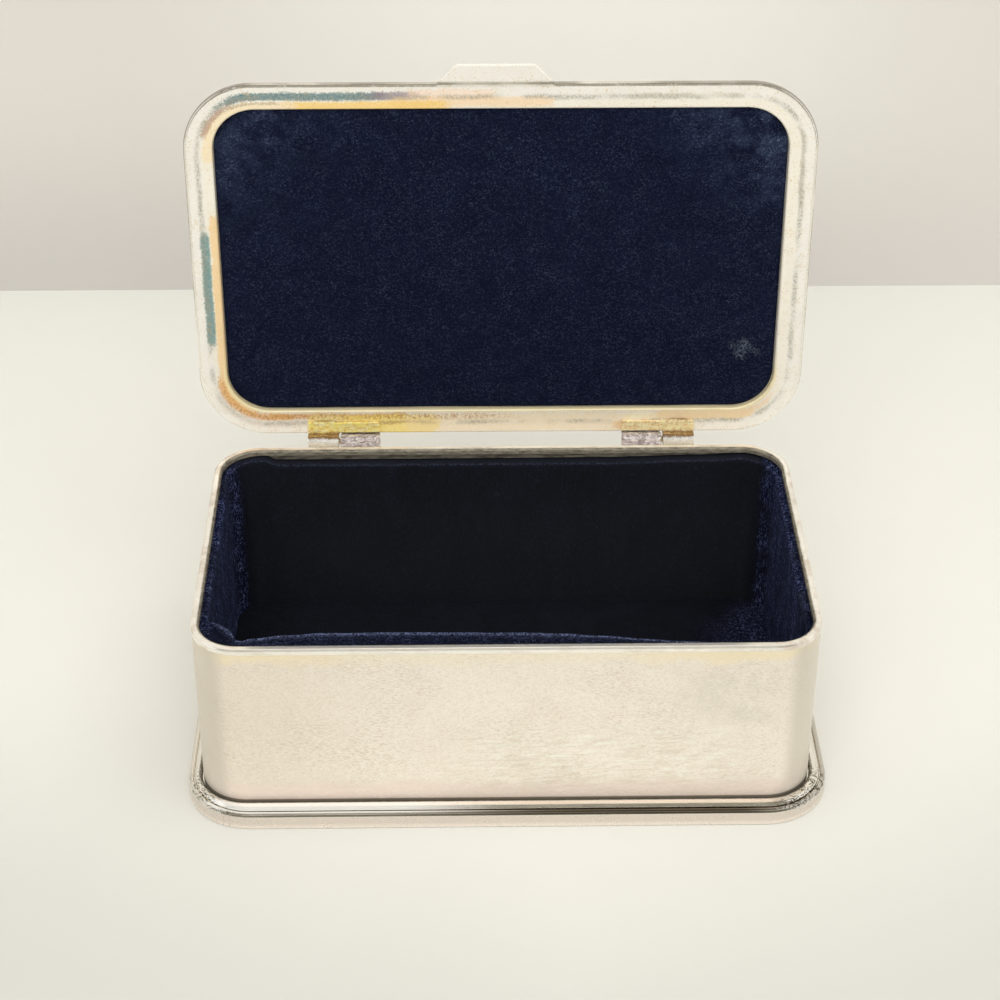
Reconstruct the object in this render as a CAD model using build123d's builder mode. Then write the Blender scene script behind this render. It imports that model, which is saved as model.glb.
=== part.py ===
from build123d import *
from math import cos, radians, sin
import os

os.makedirs("parts", exist_ok=True)

# Size over the rim of the box, in millimetres. +X is to the right, the front faces -Y.
# The origin is on the table, under the middle of the box.
box_width = 127.0
box_depth = 75.5
rim_height = 43.2
corner_radius = 10.0

# Sheet metal walls, bottom and the wire soldered round the rim
wall_thickness = 0.8
bottom_thickness = 0.9
wire_width = 1.8
wire_height = 1.2
wire_proud = 0.2
wire_rounding = 0.5

# Moulding round the foot: a flat band with a small bead and a large bead on its shoulder.
# It stands out less at the ends than at the front, and is soldered a little to the right.
foot_end_projection = 3.3
foot_front_projection = 3.7
foot_corner_radius = 13.7
foot_offset = 0.3
band_height = 3.4
band_rounding = 0.35
small_bead_inset = 0.3
small_bead_width = 0.85
small_bead_height = 0.5
small_bead_rounding = 0.38
large_bead_inset = 1.3
large_bead_wall_gap = 0.25
large_bead_height = 1.15
large_bead_rounding = 0.8

# Velvet lining: a covered card against each wall and one on the bottom
card_thickness = 1.0
velvet_thickness = 0.9
lining_drop = 2.9
lining_seam_inset = 5.5
lining_seam_gap = 0.2

# Lid, drawn as if closed, with heights measured up from the face of its rim
lid_overhang = 3.7
lid_front_extra = 0.6
lid_corner_radius = 15.0
lid_rim_thickness = 1.6
lid_rim_rounding = 0.6
lid_lip_rounding = 0.4
lid_bead_inset = 0.5
lid_bead_width = 1.8
lid_bead_height = 0.8
lid_bead_rounding = 0.7
dome_inset = 2.8
dome_height = 9.0
dome_crown_radius = 900.0
dome_rounding = 4.5
dome_thickness = 0.9

# Widths of the lid's rim round the velvet panel, the panel, and the card behind it
rim_face_side = 6.2
rim_face_front = 5.55
rim_face_back = 5.95
panel_corner_radius = 9.3
panel_recess = 0.8
panel_clearance = 0.1
panel_card_lap = 1.0
panel_card_thickness = 1.2

# Thumbpiece let into the front edge of the lid
thumb_root_width = 24.6
thumb_tip_width = 16.4
thumb_reach = 4.1
thumb_root_depth = 2.0
thumb_thickness = 1.0
thumb_offset = -1.2
thumb_corner_rounding = 1.2
thumb_edge_rounding = 0.25

# Two hinges behind the box. Each lid knuckle lies outside its body knuckle.
lid_open_angle = 92.0
lid_seat_gap = 0.05
hinge_back = 4.75
hinge_drop = 1.6
barrel_radius = 1.6
pin_radius = 0.7
pin_running_clearance = 0.05
body_knuckle_start = 27.3
body_knuckle_length = 8.95
lid_knuckle_length = 7.05
knuckle_gap = 0.3
lid_leaf_thickness = 0.8
lid_leaf_inset = 0.5
cradle_clearance = 0.4
wall_leaf_thickness = 0.8
wall_leaf_height = 5.0
web_thickness = 1.5
stop_reach = 3.0
stop_thickness = 1.1
stop_gap = 0.1

# Lines that several pieces share
wall_inset = wire_proud
wall_inner_inset = wall_inset + wall_thickness
card_inner_inset = wall_inner_inset + card_thickness
velvet_inner_inset = card_inner_inset + velvet_thickness
wall_top = rim_height - wire_height
floor_card_top = bottom_thickness + card_thickness
lining_height = rim_height - lining_drop - floor_card_top
hinge_y = box_depth / 2 + hinge_back
hinge_z = rim_height - hinge_drop
lid_front_y = -(box_depth / 2 + lid_overhang + lid_front_extra)
axis_below_lid = hinge_drop + lid_seat_gap
panel_width = box_width + 2 * (lid_overhang - rim_face_side)
lid_middle_y = -lid_front_extra / 2
panel_depth = box_depth + 2 * lid_overhang + lid_front_extra - rim_face_front - rim_face_back
panel_offset = lid_middle_y + (rim_face_front - rim_face_back) / 2

# The lid stands open. Its plane turns about the hinge axis and keeps the closed lid's X and Y.
open_angle = radians(lid_open_angle)
lid_up = Vector(0, sin(open_angle), cos(open_angle))
lid_back = Vector(0, cos(open_angle), -sin(open_angle))
hinge_point = Vector(0, hinge_y, hinge_z)
lid_origin = hinge_point - lid_back * hinge_y + lid_up * axis_below_lid
lid_plane = Plane(origin=lid_origin, x_dir=(1, 0, 0), z_dir=lid_up)
lid_side_plane = Plane(origin=lid_origin, x_dir=lid_back, z_dir=(1, 0, 0))
lid_axis = Axis(lid_origin, lid_up)
thumb_origin = lid_origin + lid_back * lid_front_y + Vector(thumb_offset, 0, 0)
thumb_plane = Plane(origin=thumb_origin, x_dir=(1, 0, 0), z_dir=lid_up)


def box_outline(inset, mode=Mode.ADD):
    """Rounded outline of the box, drawn in from the outside of the rim."""
    RectangleRounded(box_width - 2 * inset, box_depth - 2 * inset, corner_radius - inset, mode=mode)


def lid_outline(inset, mode=Mode.ADD):
    """Rounded outline of the lid, drawn in from its outer edge."""
    with Locations((0, lid_middle_y)):
        RectangleRounded(
            box_width + 2 * (lid_overhang - inset),
            box_depth + 2 * (lid_overhang - inset) + lid_front_extra,
            lid_corner_radius - inset,
            mode=mode,
        )


def foot_outline(inset, mode=Mode.ADD):
    """Rounded outline of the foot moulding, drawn in from its outer edge."""
    with Locations((foot_offset, 0)):
        RectangleRounded(
            box_width + 2 * (foot_end_projection - inset),
            box_depth + 2 * (foot_front_projection - inset),
            foot_corner_radius - inset,
            mode=mode,
        )


def panel_outline(inset, mode=Mode.ADD):
    """Rounded outline of the velvet panel in the lid."""
    with Locations((0, panel_offset)):
        RectangleRounded(
            panel_width - 2 * inset,
            panel_depth - 2 * inset,
            panel_corner_radius - inset,
            mode=mode,
        )


def add_bead(part, plane, up, outer, outer_inset, inner, inner_inset, height, rounding):
    """Raise a rounded bead between two outlines on a flat ring."""
    with BuildSketch(plane) as bead_ring:
        outer(outer_inset)
        inner(inner_inset, Mode.SUBTRACT)
    extrude(bead_ring.sketch, amount=height)
    bead_top = part.faces().sort_by(up)[-1]
    fillet(bead_top.edges(), rounding)


def dome(part, inset, height, rounding):
    """Raise the crowned form of the lid's top, with rounded shoulders, inside its foot."""
    with BuildSketch(lid_plane.offset(lid_rim_thickness)) as dome_foot:
        lid_outline(dome_inset + inset)
    extrude(dome_foot.sketch, amount=height)
    with Locations(lid_plane.offset(lid_rim_thickness + height - dome_crown_radius)):
        Sphere(dome_crown_radius, mode=Mode.INTERSECT)
    crown = part.faces().sort_by(lid_axis)[-1]
    fillet(crown.edges(), rounding)


def save(part, name):
    """Label a piece and write it."""
    part.label = name
    export_step(part, f"parts/{name}.step")


with BuildPart() as bottom_plate:
    with BuildSketch():
        box_outline(wall_inset)
    extrude(amount=bottom_thickness)
save(bottom_plate.part, "bottom_plate")

with BuildPart() as base_moulding:
    with BuildSketch():
        foot_outline(0)
        box_outline(wall_inset, Mode.SUBTRACT)
    extrude(amount=band_height)
    band_top_edge = base_moulding.faces().sort_by(Axis.Z)[-1].outer_wire().edges()
    band_foot_edge = base_moulding.faces().sort_by(Axis.Z)[0].outer_wire().edges()
    fillet(band_top_edge + band_foot_edge, band_rounding)
    band_top = Plane.XY.offset(band_height)
    add_bead(base_moulding, band_top, Axis.Z, foot_outline, small_bead_inset,
             foot_outline, small_bead_inset + small_bead_width, small_bead_height, small_bead_rounding)
    add_bead(base_moulding, band_top, Axis.Z, foot_outline, large_bead_inset,
             box_outline, wall_inset - large_bead_wall_gap, large_bead_height, large_bead_rounding)
save(base_moulding.part, "base_moulding")

with BuildPart() as body_wall:
    with BuildSketch(Plane.XY.offset(bottom_thickness)):
        box_outline(wall_inset)
        box_outline(wall_inner_inset, Mode.SUBTRACT)
    extrude(amount=wall_top - bottom_thickness)
save(body_wall.part, "body_wall")

with BuildPart() as rim_wire:
    with BuildSketch(Plane.XY.offset(wall_top)):
        box_outline(0)
        box_outline(wire_width, Mode.SUBTRACT)
    extrude(amount=wire_height)
    fillet(rim_wire.faces().sort_by(Axis.Z)[-1].edges(), wire_rounding)
save(rim_wire.part, "rim_wire")

with BuildPart() as floor_card:
    with BuildSketch(Plane.XY.offset(bottom_thickness)):
        box_outline(wall_inner_inset)
    extrude(amount=card_thickness)
save(floor_card.part, "floor_card")

with BuildPart() as floor_velvet:
    with BuildSketch(Plane.XY.offset(floor_card_top)):
        box_outline(velvet_inner_inset)
    extrude(amount=velvet_thickness)
save(floor_velvet.part, "floor_velvet")

# Each end lining takes in two corners, and the front and back linings fill the rest.
end_centre = (box_width - lining_seam_inset) / 2
side_centre = box_depth / 4
end_size = (lining_seam_inset, box_depth)
side_size = (box_width - 2 * (lining_seam_inset + lining_seam_gap), box_depth / 2)
lining_regions = {
    "left": ((-end_centre, 0), end_size),
    "right": ((end_centre, 0), end_size),
    "front": ((0, -side_centre), side_size),
    "back": ((0, side_centre), side_size),
}

for side, (region_centre, region_size) in lining_regions.items():
    with BuildPart() as lining_card:
        with BuildSketch(Plane.XY.offset(floor_card_top)):
            box_outline(wall_inner_inset)
            box_outline(card_inner_inset, Mode.SUBTRACT)
            with Locations(region_centre):
                Rectangle(*region_size, mode=Mode.INTERSECT)
        extrude(amount=lining_height)
    save(lining_card.part, f"lining_card_{side}")

    with BuildPart() as lining_velvet:
        with BuildSketch(Plane.XY.offset(floor_card_top)):
            box_outline(card_inner_inset)
            box_outline(velvet_inner_inset, Mode.SUBTRACT)
            with Locations(region_centre):
                Rectangle(*region_size, mode=Mode.INTERSECT)
        extrude(amount=lining_height)
    save(lining_velvet.part, f"lining_velvet_{side}")

with BuildPart() as lid_rim_frame:
    with BuildSketch(lid_plane):
        lid_outline(0)
        panel_outline(0, Mode.SUBTRACT)
    extrude(amount=lid_rim_thickness)
    rim_face = lid_rim_frame.faces().sort_by(lid_axis)[0]
    rim_outer_edges = rim_face.outer_wire().edges()
    rim_lip_edges = rim_face.inner_wires()[0].edges()
    fillet(rim_outer_edges, lid_rim_rounding)
    fillet(rim_lip_edges, lid_lip_rounding)
    rim_back_edges = lid_rim_frame.faces().sort_by(lid_axis)[-1].outer_wire().edges()
    fillet(rim_back_edges, lid_lip_rounding)
    add_bead(lid_rim_frame, lid_plane.offset(lid_rim_thickness), lid_axis, lid_outline, lid_bead_inset,
             lid_outline, lid_bead_inset + lid_bead_width, lid_bead_height, lid_bead_rounding)
    # Notch for the root of the thumbpiece
    with BuildSketch(thumb_plane):
        Rectangle(thumb_root_width, 2 * thumb_root_depth)
    extrude(amount=thumb_thickness, mode=Mode.SUBTRACT)
save(lid_rim_frame.part, "lid_rim_frame")

with BuildPart() as thumbpiece:
    with BuildSketch(thumb_plane):
        with BuildLine():
            Polyline(
                (-thumb_root_width / 2, thumb_root_depth),
                (-thumb_root_width / 2, 0),
                (-thumb_tip_width / 2, -thumb_reach),
                (thumb_tip_width / 2, -thumb_reach),
                (thumb_root_width / 2, 0),
                (thumb_root_width / 2, thumb_root_depth),
                close=True,
            )
        make_face()
    extrude(amount=thumb_thickness)
    tip_face = thumbpiece.faces().sort_by(Axis(lid_origin, lid_back))[0]
    tip_corners = tip_face.edges().filter_by(lid_axis)
    fillet(tip_corners, thumb_corner_rounding)
    free_edges = thumbpiece.faces().filter_by(lid_axis).edges().filter_by(
        lambda edge: thumb_plane.to_local_coords(edge.center()).Y < 0
    )
    fillet(free_edges, thumb_edge_rounding)
save(thumbpiece.part, "thumbpiece")

with BuildPart() as lid_hollow:
    dome(lid_hollow, dome_thickness, dome_height - dome_thickness, dome_rounding - dome_thickness)

with BuildPart() as lid_shell:
    dome(lid_shell, 0, dome_height, dome_rounding)
    add(lid_hollow.part, mode=Mode.SUBTRACT)
save(lid_shell.part, "lid_shell")

with BuildPart() as lid_card:
    with BuildSketch(lid_plane.offset(lid_rim_thickness)):
        panel_outline(-panel_card_lap)
    extrude(amount=panel_card_thickness)
save(lid_card.part, "lid_card")

with BuildPart() as lid_velvet:
    with BuildSketch(lid_plane.offset(panel_recess)):
        panel_outline(panel_clearance)
    extrude(amount=lid_rim_thickness - panel_recess)
save(lid_velvet.part, "lid_velvet")

# Shared places on the hinges, seen from the side
wall_back_y = box_depth / 2 - wall_inset
lid_leaf_front_y = box_depth / 2 + lid_leaf_inset
lid_knuckle_start = body_knuckle_start + body_knuckle_length + knuckle_gap
hinge_length = body_knuckle_length + knuckle_gap + lid_knuckle_length
pin_hole_radius = pin_radius + pin_running_clearance

# The open lid's back edge comes down on a stop behind each body knuckle.
lid_edge_height = (hinge_back - lid_overhang) * sin(open_angle)
lid_edge_drop = (axis_below_lid + lid_rim_thickness) * cos(open_angle)
stop_top = lid_edge_height + lid_edge_drop - stop_gap

for sign, side in ((1, "right"), (-1, "left")):
    with BuildPart() as body_knuckle:
        with BuildSketch(Plane.YZ.offset(sign * body_knuckle_start)):
            with Locations((hinge_y, hinge_z)):
                Circle(barrel_radius)
            with Locations((wall_back_y, hinge_z - barrel_radius)):
                Rectangle(hinge_y - wall_back_y, web_thickness, align=(Align.MIN, Align.MIN))
            with Locations((wall_back_y, wall_top)):
                Rectangle(wall_leaf_thickness, wall_leaf_height, align=(Align.MIN, Align.MAX))
            with Locations((hinge_y, hinge_z + stop_top)):
                Rectangle(stop_reach, stop_thickness, align=(Align.MIN, Align.MAX))
            with Locations((hinge_y, hinge_z)):
                Circle(pin_hole_radius, mode=Mode.SUBTRACT)
        extrude(amount=sign * body_knuckle_length)
    save(body_knuckle.part, f"hinge_body_knuckle_{side}")

    with BuildPart() as lid_knuckle:
        with BuildSketch(lid_side_plane.offset(sign * lid_knuckle_start)):
            with Locations((hinge_y, -axis_below_lid)):
                Circle(barrel_radius)
            with Locations((lid_leaf_front_y, 0)):
                Rectangle(hinge_y - lid_leaf_front_y, lid_leaf_thickness, align=(Align.MIN, Align.MAX))
            with Locations((hinge_y, -axis_below_lid)):
                Circle(pin_hole_radius, mode=Mode.SUBTRACT)
        extrude(amount=sign * lid_knuckle_length)
        # The leaf runs on past the body knuckle and is hollowed to clear it.
        with BuildSketch(lid_side_plane.offset(sign * body_knuckle_start)):
            with Locations((lid_leaf_front_y, 0)):
                Rectangle(hinge_y - lid_leaf_front_y, lid_leaf_thickness, align=(Align.MIN, Align.MAX))
            with Locations((hinge_y, -axis_below_lid)):
                Circle(barrel_radius + cradle_clearance, mode=Mode.SUBTRACT)
        extrude(amount=sign * (body_knuckle_length + knuckle_gap))
    save(lid_knuckle.part, f"hinge_lid_knuckle_{side}")

    with BuildPart() as hinge_pin:
        with BuildSketch(Plane.YZ.offset(sign * body_knuckle_start)):
            with Locations((hinge_y, hinge_z)):
                Circle(pin_radius)
        extrude(amount=sign * hinge_length)
    save(hinge_pin.part, f"hinge_pin_{side}")
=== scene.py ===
import math

import bpy
from mathutils import Matrix, Vector, noise


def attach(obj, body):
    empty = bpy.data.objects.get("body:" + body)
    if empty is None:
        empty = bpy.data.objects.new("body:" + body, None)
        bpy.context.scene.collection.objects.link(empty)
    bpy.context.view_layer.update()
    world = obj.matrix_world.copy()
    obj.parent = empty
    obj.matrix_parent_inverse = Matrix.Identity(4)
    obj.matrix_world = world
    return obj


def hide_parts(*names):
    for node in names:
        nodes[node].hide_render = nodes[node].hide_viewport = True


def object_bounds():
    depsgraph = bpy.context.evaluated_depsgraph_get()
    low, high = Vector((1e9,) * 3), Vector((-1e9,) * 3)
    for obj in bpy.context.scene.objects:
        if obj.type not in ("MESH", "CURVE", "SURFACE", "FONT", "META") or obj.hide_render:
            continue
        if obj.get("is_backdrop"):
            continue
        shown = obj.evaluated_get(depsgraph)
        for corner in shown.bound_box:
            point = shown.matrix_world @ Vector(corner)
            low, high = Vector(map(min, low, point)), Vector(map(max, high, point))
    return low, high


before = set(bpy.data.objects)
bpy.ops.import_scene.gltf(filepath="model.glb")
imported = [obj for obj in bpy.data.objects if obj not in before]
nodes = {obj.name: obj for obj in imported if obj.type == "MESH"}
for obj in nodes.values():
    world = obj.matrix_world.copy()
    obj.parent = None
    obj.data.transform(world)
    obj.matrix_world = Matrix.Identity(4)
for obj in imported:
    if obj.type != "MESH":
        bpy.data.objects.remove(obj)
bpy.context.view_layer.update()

mm = 0.001
bpy.ops.object.select_all(action="DESELECT")

# ---- camera
cameraPlace = {
    "lens": 84.103,
    "at": (-7.747, -406.134, 321.225),  # mm
    "pitch": 33.397,
    "yaw": 0.962,
    "roll": 0.122,
}

pitch = math.radians(cameraPlace["pitch"])
yaw = math.radians(cameraPlace["yaw"])
roll = math.radians(cameraPlace["roll"])
forward = Vector((math.sin(yaw) * math.cos(pitch), math.cos(yaw) * math.cos(pitch), -math.sin(pitch)))
sideways = Vector((math.cos(yaw), -math.sin(yaw), 0))
upward = sideways.cross(forward)
cameraX = sideways * math.cos(roll) + upward * math.sin(roll)
cameraY = upward * math.cos(roll) - sideways * math.sin(roll)
cameraData = bpy.data.cameras.new("photoCamera")
cameraData.lens = cameraPlace["lens"]
cameraData.sensor_width = 36
cameraData.clip_start = 0.01
camera = bpy.data.objects.new("photoCamera", cameraData)
cameraTurn = Matrix((cameraX, cameraY, -forward)).transposed().to_4x4()
camera.matrix_world = Matrix.Translation(Vector(cameraPlace["at"]) * mm) @ cameraTurn
bpy.context.scene.collection.objects.link(camera)
bpy.context.scene.camera = camera
bpy.context.scene.view_settings.view_transform = "Standard"


# ---- helpers for node trees
def fill(node, inputs):
    for name, value in inputs.items():
        if isinstance(value, bpy.types.NodeSocket):
            node.id_data.links.new(value, node.inputs[name])
        else:
            node.inputs[name].default_value = value


def addNode(tree, kind, inputs=None, **settings):
    node = tree.nodes.new("ShaderNode" + kind)
    for name, value in settings.items():
        setattr(node, name, value)
    fill(node, inputs or {})
    return node


def treeOf(*values):
    return next(value.id_data for value in values if isinstance(value, bpy.types.NodeSocket))


def calculate(operation, first, second=0.0, clamp=False):
    tree = treeOf(first, second)
    return addNode(tree, "Math", {0: first, 1: second}, operation=operation, use_clamp=clamp).outputs[0]


def times(*factors):
    product = factors[0]
    for factor in factors[1:]:
        product = calculate("MULTIPLY", product, factor)
    return product


def plus(first, second):
    return calculate("ADD", first, second)


def minus(first, second):
    return calculate("SUBTRACT", first, second)


def larger(first, second):
    return calculate("MAXIMUM", first, second)


def absolute(value):
    return calculate("ABSOLUTE", value)


def remap(value, low, high, toLow=0.0, toHigh=1.0):
    inputs = {"Value": value, "From Min": low, "From Max": high, "To Min": toLow, "To Max": toHigh}
    return addNode(treeOf(value), "MapRange", inputs, interpolation_type="SMOOTHSTEP").outputs["Result"]


def blendColour(factor, first, second):
    first, second = ((*tone, 1) if isinstance(tone, tuple) else tone for tone in (first, second))
    inputs = {0: factor, 6: first, 7: second}
    return addNode(treeOf(factor, first, second), "Mix", inputs, data_type="RGBA").outputs[2]


def paint(colour, mask, share, tone):
    return blendColour(times(mask, share), colour, tone)


def noiseAt(point, size, detail=3.0, roughness=0.55, distortion=0.0):
    inputs = {"Vector": point, "Scale": 1 / size, "Detail": detail, "Roughness": roughness,
              "Distortion": distortion}
    return addNode(treeOf(point), "TexNoise", inputs).outputs[0]


def swing(value, amount):
    return times(minus(value, 0.5), amount)


def stretched(point, factors):
    return addNode(treeOf(point), "VectorMath", {0: point, 1: factors}, operation="MULTIPLY").outputs[0]


def axesOf(point):
    return addNode(treeOf(point), "SeparateXYZ", {0: point}).outputs


def pointAt(**axes):
    return addNode(treeOf(*axes.values()), "CombineXYZ", axes).outputs[0]


def newGroup(name, inputs, outputs):
    tree = bpy.data.node_groups.new(name, "ShaderNodeTree")
    for label, kind in inputs:
        tree.interface.new_socket(label, in_out="INPUT", socket_type="NodeSocket" + kind)
    for label, kind in outputs:
        tree.interface.new_socket(label, in_out="OUTPUT", socket_type="NodeSocket" + kind)
    source = tree.nodes.new("NodeGroupInput").outputs
    result = tree.nodes.new("NodeGroupOutput").inputs
    return tree, source, result


def useGroup(group, inputs):
    node = treeOf(*inputs.values()).nodes.new("ShaderNodeGroup")
    node.node_tree = group
    fill(node, inputs)
    return node.outputs


# ---- node groups; all points and sizes in them are in millimetres
# How far a point lies in from a rounded outline
insetGroup, source, result = newGroup(
    "insetFromOutline",
    [("Point", "Vector"), ("Half Width", "Float"), ("Half Height", "Float"), ("Corner", "Float")],
    [("Inset", "Float")],
)
pointAbs = addNode(insetGroup, "VectorMath", {0: source["Point"]}, operation="ABSOLUTE").outputs[0]
sides = axesOf(pointAbs)
beyondX = plus(minus(sides["X"], source["Half Width"]), source["Corner"])
beyondY = plus(minus(sides["Y"], source["Half Height"]), source["Corner"])
squares = plus(calculate("POWER", larger(beyondX, 0.0), 2.0), calculate("POWER", larger(beyondY, 0.0), 2.0))
inside = calculate("MINIMUM", larger(beyondX, beyondY), 0.0)
total = plus(calculate("SQRT", squares), inside)
insetGroup.links.new(minus(source["Corner"], total), result["Inset"])

# A mask that is 1 between two values and fades at both ends
bandGroup, source, result = newGroup(
    "softBand",
    [("Value", "Float"), ("Low", "Float"), ("High", "Float"), ("Softness", "Float")],
    [("Mask", "Float")],
)
value, low, high, softness = (source[name] for name in ("Value", "Low", "High", "Softness"))
rise = remap(value, minus(low, softness), plus(low, softness))
fall = remap(value, minus(high, softness), plus(high, softness), 1.0, 0.0)
bandGroup.links.new(times(rise, fall), result["Mask"])

# Wear of plated metal: cloudy patches, fine scratches, specks and a slight unevenness of the sheet
wearGroup, source, result = newGroup(
    "plateWear",
    [("Point", "Vector"), ("Scratch Stretch", "Vector"), ("Cloud Scale", "Float")],
    [("Clouds", "Float"), ("Scratches", "Float"), ("Specks", "Float"), ("Ripple", "Float")],
)
cloudInputs = {"Vector": source["Point"], "Scale": source["Cloud Scale"], "Detail": 6.0, "Roughness": 0.62,
               "Distortion": 0.5}
cloudNoise = addNode(wearGroup, "TexNoise", cloudInputs).outputs[0]
wearGroup.links.new(remap(cloudNoise, 0.42, 0.66), result["Clouds"])
lines = stretched(source["Point"], source["Scratch Stretch"])
longLines = remap(noiseAt(lines, 1.0, 4.0, 0.7, 0.3), 0.54, 0.72)
shortLines = remap(noiseAt(lines, 0.31, 3.0, 0.65, 0.9), 0.58, 0.74)
wearGroup.links.new(larger(longLines, shortLines), result["Scratches"])
specks = remap(noiseAt(source["Point"], 0.42, 2.0, 0.7), 0.6, 0.74)
wearGroup.links.new(specks, result["Specks"])
wearGroup.links.new(noiseAt(source["Point"], 9.0, 2.0, 0.5), result["Ripple"])

# Breaks the soft edge of a mask up into specks
ragGroup, source, result = newGroup(
    "raggedEdge",
    [("Mask", "Float"), ("Point", "Vector"), ("Grain", "Float")],
    [("Mask", "Float")],
)
coarseGrain = noiseAt(source["Point"], 2.6, 3.0, 0.7)
grainInputs = {"Vector": source["Point"], "Scale": source["Grain"], "Detail": 3.0, "Roughness": 0.85}
fineGrain = addNode(ragGroup, "TexNoise", grainInputs).outputs[0]
bothGrains = plus(times(coarseGrain, 0.7), times(fineGrain, 2.3))
shaken = plus(source["Mask"], minus(bothGrains, 1.5))
ragGroup.links.new(remap(shaken, 0.2, 0.85), result["Mask"])

# Short velvet pile: light fibres, the way the nap lies, and its height
pileGroup, source, result = newGroup(
    "velvetPile",
    [("Point", "Vector")],
    [("Fibres", "Float"), ("Nap", "Float"), ("Height", "Float")],
)
point = source["Point"]
fineFibres = remap(noiseAt(point, 0.42, 2.0, 0.8, 0.8), 0.53, 0.66)
longFibres = remap(noiseAt(stretched(point, (0.5, 0.9, 1.5)), 0.55, 3.0, 0.75, 1.8), 0.57, 0.68)
lyingPatches = remap(noiseAt(point, 5.0, 3.0, 0.6, 0.6), 0.36, 0.62, 0.5, 1.0)
allFibres = larger(times(fineFibres, 0.7), longFibres)
pileGroup.links.new(times(allFibres, lyingPatches), result["Fibres"])
pileGroup.links.new(remap(noiseAt(point, 9.0, 5.0, 0.7, 0.4), 0.3, 0.75), result["Nap"])
pileGroup.links.new(noiseAt(point, 0.3, 2.0, 0.7), result["Height"])
print("node groups ready")


# ---- materials
def newMaterial(name):
    material = bpy.data.materials.new(name)
    material.use_nodes = True
    tree = material.node_tree
    tree.nodes.clear()
    shader = addNode(tree, "BsdfPrincipled")
    addNode(tree, "OutputMaterial", {"Surface": shader.outputs[0]})
    place = addNode(tree, "TexCoord").outputs["Object"]
    point = addNode(tree, "VectorMath", {0: place, "Scale": 1 / mm}, operation="SCALE").outputs[0]
    return material, tree, shader, point


def bumped(height, strength, depth, **more):
    inputs = {"Height": height, "Strength": strength, "Distance": depth * mm, **more}
    return addNode(treeOf(height), "Bump", inputs).outputs[0]


def band(value, low, high, softness):
    return useGroup(bandGroup, {"Value": value, "Low": low, "High": high, "Softness": softness})[0]


def insetFrom(outline, point):
    halfWidth, halfHeight, corner = outline
    inputs = {"Point": point, "Half Width": halfWidth, "Half Height": halfHeight, "Corner": corner}
    return useGroup(insetGroup, inputs)[0]


def ragged(mask, point, grain):
    return useGroup(ragGroup, {"Mask": mask, "Point": point, "Grain": grain})[0]


def plateMaterial(name, look, tint=None):
    material, tree, shader, point = newMaterial(name)
    wear = useGroup(wearGroup, {"Point": point, "Scratch Stretch": look["stretch"],
                                "Cloud Scale": 1 / look["cloudSize"]})
    colour = blendColour(times(wear["Clouds"], look["cloudShare"]), look["tone"], look["cloudTone"])
    colour = paint(colour, wear["Scratches"], look["scratchShare"], look["scratchTone"])
    colour = paint(colour, wear["Specks"], look["speckShare"], look["speckTone"])
    roughness = remap(wear["Clouds"], 0.0, 1.0, *look["roughness"])
    roughness = plus(roughness, times(wear["Scratches"], look["scratchRough"]))
    dull = None
    if tint:
        colour, roughness, dull = tint(point, colour, roughness, wear)
    height = wear["Ripple"]
    if "wrinkles" in look:
        height = plus(height, look["wrinkles"](point))
    ripple = bumped(height, look["ripple"], 1.0)
    grain = bumped(plus(wear["Scratches"], wear["Specks"]), look["grain"], 0.02, Normal=ripple)
    # tarnish, worn plate and the painted shade and highlights shine less like bare metal
    metallic = remap(dull, 0.0, 1.0, 1.0, 0.3) if dull else 1.0
    fill(shader, {"Base Color": colour, "Roughness": roughness, "Metallic": metallic, "Normal": grain})
    return material


silverLook = {
    "tone": (1.0, 0.93, 0.84),
    "cloudTone": (0.93, 0.835, 0.735),
    "cloudShare": 0.3,
    "cloudSize": 14.0,
    "scratchTone": (1.0, 0.975, 0.91),
    "scratchShare": 0.35,
    "scratchRough": 0.08,
    "speckTone": (0.70, 0.62, 0.51),
    "speckShare": 0.3,
    "stretch": (0.12, 0.12, 4.5),
    "roughness": (0.24, 0.36),
    "ripple": 0.05,
    "grain": 0.25,
}

# Half width, half height and corner radius of the outlines that the tints measure from
wallOutline = (63.3, 37.55, 9.8)
rimOutline = (63.5, 37.75, 10.0)
lidOutline = (67.2, 41.75, 15.0)

# The tones that a tint lays over the plate, after their share where it is the same everywhere
wallPaint = {
    "left": (0.6, (0.90, 0.80, 0.69)),
    "specks": (0.75, (0.70, 0.60, 0.49)),
    "grit": (0.40, (0.68, 0.585, 0.47)),
    "pale": (0.45, (1.0, 0.965, 0.885)),
    "smear": (0.6, (0.78, 0.74, 0.655)),
    "streaks": (0.85, (1.0, 0.985, 0.90)),
    "between": (0.5, (0.74, 0.66, 0.55)),
    "corners": (0.8, (0.70, 0.645, 0.56)),
    "creviceShade": (0.85, (0.16, 0.135, 0.09)),
    "gold": (1.0, 0.87, 0.62),
    # painted reflection of the moulding, low on the wall
    "foot": (0.86, 0.725, 0.64),
    "innerDark": (0.095, 0.082, 0.06),
    "innerPale": (0.24, 0.215, 0.17),
}


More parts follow.
